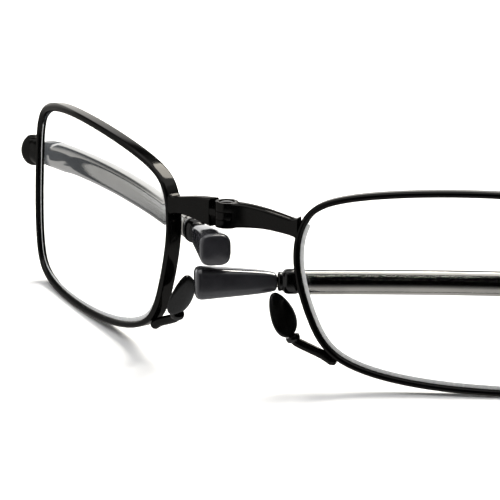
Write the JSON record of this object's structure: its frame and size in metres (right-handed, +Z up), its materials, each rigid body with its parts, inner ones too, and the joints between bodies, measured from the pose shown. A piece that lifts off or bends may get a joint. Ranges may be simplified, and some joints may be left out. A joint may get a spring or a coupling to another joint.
{
  "type": "folding reading glasses",
  "caption": "Compact reading glasses that fold at a bridge hinge, with slim metal rims, nose pads and telescoping temples that fold flat behind the lenses.",
  "frame": {"origin": "middle of the footprint, on the surface the rims stand on", "axes": "+X runs along the right half from the bridge hinge outward, +Y runs back from the lens fronts, +Z is up"},
  "size_m": [0.0954, 0.0606, 0.0274],
  "materials": {
    "gunmetal": "gloss black gunmetal plating",
    "steel": "polished, faintly drawn along the temple",
    "black_trim": "gloss black",
    "tip_plastic": "semi gloss dark grey moulding",
    "pad_plastic": "gloss smoky moulding",
    "lens": "clear, coated"
  },
  "bodies": {
    "right_half": {"right_rim": "gunmetal", "right_lens": "lens", "right_end_block": "gunmetal", "right_hinge_screw": "steel", "right_lock_screw": "steel", "right_pad_arm": "gunmetal", "right_pad_cup": "black_trim", "bridge_fork": "gunmetal", "bridge_pin": "black_trim"},
    "left_half": {"left_rim": "gunmetal", "left_lens": "lens", "left_end_block": "gunmetal", "left_hinge_screw": "steel", "left_lock_screw": "steel", "left_pad_arm": "gunmetal", "left_pad_cup": "black_trim", "bridge_tongue": "gunmetal"},
    "right_temple": {"right_knuckle": "steel", "right_tube": "steel", "right_ferrule": "black_trim"},
    "right_slider": {"right_rod": "steel", "right_tip": "tip_plastic"},
    "right_pad": {"right_nose_pad": "pad_plastic"},
    "left_temple": {"left_knuckle": "steel", "left_tube": "steel", "left_ferrule": "black_trim"},
    "left_slider": {"left_rod": "steel", "left_tip": "tip_plastic"},
    "left_pad": {"left_nose_pad": "pad_plastic"}
  },
  "joints": [
    {"name": "bridge_fold", "type": "hinge", "parent": "right_half", "child": "left_half", "pos_m": [-0.0145, -0.0243, 0.02192], "axis": [0, 0, -1], "range_deg": [-61.8, 110.2]},
    {"name": "right_temple_fold", "type": "hinge", "parent": "right_half", "child": "right_temple", "pos_m": [0.046, -0.0276, 0.01457], "axis": [0, 0, 1], "range_deg": [-92, 0]},
    {"name": "left_temple_fold", "type": "hinge", "parent": "left_half", "child": "left_temple", "pos_m": [-0.046, 0.02746, 0.01707], "axis": [0, 0, -1], "range_deg": [-92, 0]},
    {"name": "right_temple_extend", "type": "hinge", "parent": "right_temple", "child": "right_slider", "pos_m": [0.0249, -0.23898, 0.01442], "axis": [-0.007, 0, 1], "range_deg": [0, 10]},
    {"name": "left_temple_extend", "type": "hinge", "parent": "left_temple", "child": "left_slider", "pos_m": [-0.22232, -0.09102, 0.0177], "axis": [0.014, -0.0261, -0.9996], "range_deg": [0, 10]},
    {"name": "right_pad_rock", "type": "hinge", "parent": "right_half", "child": "right_pad", "pos_m": [-0.00531, -0.0273, 0.00625], "axis": [-0.4148, -0.8895, -0.1919], "range_deg": [-6, 6]},
    {"name": "left_pad_rock", "type": "hinge", "parent": "left_half", "child": "left_pad", "pos_m": [-0.02149, -0.01762, 0.00625], "axis": [-0.5879, -0.7859, -0.1918], "range_deg": [-6, 6]}
  ]
}
